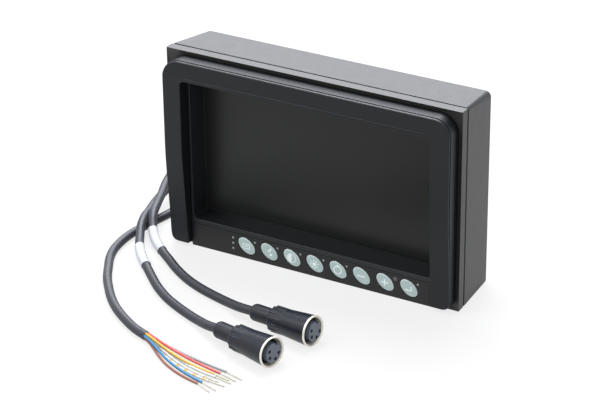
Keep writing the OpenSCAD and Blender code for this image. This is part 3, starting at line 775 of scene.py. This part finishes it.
def legend(k, x, z):
    """Where ink lies on key k, as a number from 0 to 1; x and z are in mm from its middle."""
    def bar(along, over, centre_x, centre_z):
        return (abs(x - centre_x) < along) * (abs(z - centre_z) < over)
    distance = x.calc("SQRT", x * x + z * z)
    if k == 1:
        return bar(2.6, 1.8, 0, 0) - bar(2.0, 1.2, 0, 0) + bar(1.2, 0.3, 0, 0.1)
    if k == 2:
        slant = abs(x * 0.8 - z * 0.6 + 0.3) < 0.55
        return slant * (distance < 3.2) * (z > 0.2) + (x.calc(
            "SQRT", (x - 1.5) * (x - 1.5) + (z + 1.5) * (z + 1.5)) < 0.95)
    if k == 3:
        return (distance < 3.1) * (x < 0.1) + (abs(distance - 2.9) < 0.22) * (x > 0.1)
    if k == 4:
        turn = x.calc("ARCTAN2", z, x)
        return (distance < 1.3) + (abs(distance - 2.4) < 0.6) * ((turn % 0.7854) < 0.3)
    if k == 5:
        return (abs(distance - 2.5) < 0.33) + bar(0.5, 0.9, 0, 2.7)
    if k == 6:
        return bar(2.6, 0.42, 0, 0)
    if k == 7:
        return bar(2.4, 0.4, 0, 0) + bar(0.4, 2.2, 0, 0)
    hook = bar(2.1, 0.38, 0, -1.1) + bar(0.38, 1.4, 1.9, 0.2)
    return hook + (abs(z + 1.1) < 1.0 - (0 - x - 1.2) * 1.1) * (x < -1.2) * (x > -2.4)


for k in range(1, 9):
    key_low, key_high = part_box(f"button_{k}")
    centre_x, face_y = (key_low.x + key_high.x) / 2, key_low.y
    silicone = Finish(f"key {k} silicone", (0.33, 0.42, 0.41), 0.45, subsurface_weight=0.1)
    silicone.set({"Subsurface Radius": (0.001, 0.001, 0.001)})
    px, _, pz = silicone.axes()
    x, z = (px - centre_x) * 1000, (pz - key_z * mm) * 1000
    ink = legend(k, x, z) > 0.5
    along = (x * math.cos(lean) - z * math.sin(lean)) * (1 / half_long)
    over = (x * math.sin(lean) + z * math.cos(lean)) * (1 / half_short)
    # Painted highlight: the outer rim of each cap, beyond 0.84 of the oval, is lightened halfway
    # to white as if its rounded edge caught the light.
    painted_rim_highlight = (along * along + over * over) > 0.84
    face = silicone.mix(silicone.noise(180, 3.0), silicone_dark, silicone_light)
    face = silicone.mix(painted_rim_highlight * 0.5, face, ink_and_highlight_white)
    silicone.set({"Base Color": silicone.mix(ink * 0.85, face, ink_and_highlight_white)})
    silicone.set({"Roughness": silicone.noise(500) * 0.1 + 0.38})
    silicone.relief(ink * 0.4 + silicone.noise(1500, 2.0) * 0.2, 0.05)
    # Rings of the cap: depth behind the face, and distance in from the oval's edge
    cap = eased([(0, 3.9), (0.02, 2.4), (0.08, 0.9), (0.3, 0.25), (0.8, 0), (4.8, 0)], 0.3)
    angle = np.linspace(0, 2 * np.pi, 64, endpoint=False)[None, :, None]
    inward = cap[:, 1][:, None, None]
    grid = ((half_long - inward) * np.cos(angle) * long_way
            + (half_short - inward) * np.sin(angle) * short_way
            + cap[:, 0][:, None, None] * np.array([0, 1.0, 0])
            + np.array([centre_x / mm, face_y / mm - front, key_z]))
    key = surface(f"key_cap_{k}", grid, body=f"key_{k}", finish=silicone)
    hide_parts(f"button_{k}")
pipe_grey, lens_plum = (0.22, 0.23, 0.23), (0.05, 0.042, 0.05)
clear = Finish("light pipes", pipe_grey, 0.18)
varied(clear, pipe_grey, 0.5, 0.2, 0.1, 900)
dress("light_pipes", clear)
sensor_lens = Finish("sensor lens", lens_plum, 0.12, coat_weight=0.6)
varied(sensor_lens, lens_plum, 0.2, 0.14, 0.06, 900)
dress("light_sensor", sensor_lens)


# ---- Screen ----
# Low-glare cover glass printed black round a 154 x 87 mm active area, in front of the
# dark, unlit panel.

glare_coat = Finish("low-glare glass", (0.012, 0.0125, 0.0115), 0.3, specular_ior_level=0.3)
gx, _, gz = glare_coat.axes()
active = (abs(gx) < 0.077) * (abs(gz - 0.0655) < 0.0436)
glass_colour = glare_coat.mix(active, (0.007, 0.008, 0.0078), (0.0095, 0.0102, 0.0094))
glare_coat.set({"Base Color": glass_colour,
                "Roughness": glare_coat.noise(90, 2.0) * 0.06 + 0.26 + active * 0.02})
glare_coat.relief(glare_coat.noise(6000, 1.0), 0.003)
dress("cover_glass", glare_coat)


# ---- Parts inside and on the back ----
# The display's bracket, the boards and the speaker are sealed in the housing; its back
# carries the screws, the tapped mounting inserts, a vent, a blank plate and the nuts.

def plain(name, color, roughness, nodes, per_metre=200, metallic=0.0, depth=0.02):
    """One finish for several CAD nodes, clouded and slightly grained."""
    finish = varied(Finish(name, color, roughness, metallic=metallic), color, 0.08, roughness,
                    0.1, per_metre)
    finish.relief(finish.noise(per_metre * 9, 2.0), depth)
    for node in nodes:
        dress(node, finish)
    return finish


plain("lcd panel", (0.02, 0.02, 0.018), 0.2, ["lcd_panel"])
plain("backlight", (0.75, 0.77, 0.78), 0.4, ["backlight"])
plain("zinc-plated steel", (0.55, 0.56, 0.57), 0.35,
      ["lcd_bracket", "board_screws", "tact_switches"], metallic=1.0)
plain("blackened steel", (0.08, 0.08, 0.085), 0.35, ["case_screws"], metallic=0.9)
plain("brass", (0.72, 0.5, 0.2), 0.28, ["mount_inserts"], metallic=1.0)
plain("chip resin", (0.02, 0.02, 0.022), 0.55, ["board_parts"])
plain("ribbon film", (0.5, 0.3, 0.08), 0.35, ["ribbon_cable"])
plain("speaker basket", (0.03, 0.032, 0.035), 0.5, ["speaker"])
plain("vent and nuts", (0.022, 0.022, 0.024), 0.5, ["pressure_vent", "gland_nuts"])
board_mask = plain("solder mask", (0.015, 0.11, 0.05), 0.35, ["main_board", "key_board"])
bz = board_mask.axes()[2]
tracks = ((bz * 1000 % 2.4) < 0.5) * (board_mask.noise(180, 1.0) > 0.5)
board_mask.set({"Base Color": board_mask.mix(tracks, (0.012, 0.1, 0.045), (0.03, 0.17, 0.08))})
plate = Finish("blank aluminium plate", (0.6, 0.61, 0.62), 0.35, metallic=1.0)
tx, ty, tz = plate.axes()
stretched = plate.node("ShaderNodeCombineXYZ", {}, {0: tx * 0.03, 1: ty, 2: tz})
brushing = plate.noise(4000, 3.0, 0.6, stretched)
plate.set({"Base Color": plate.mix(brushing, (0.52, 0.53, 0.54), (0.66, 0.67, 0.68)),
           "Roughness": brushing * 0.2 + 0.25})
dress("rating_plate", plate)
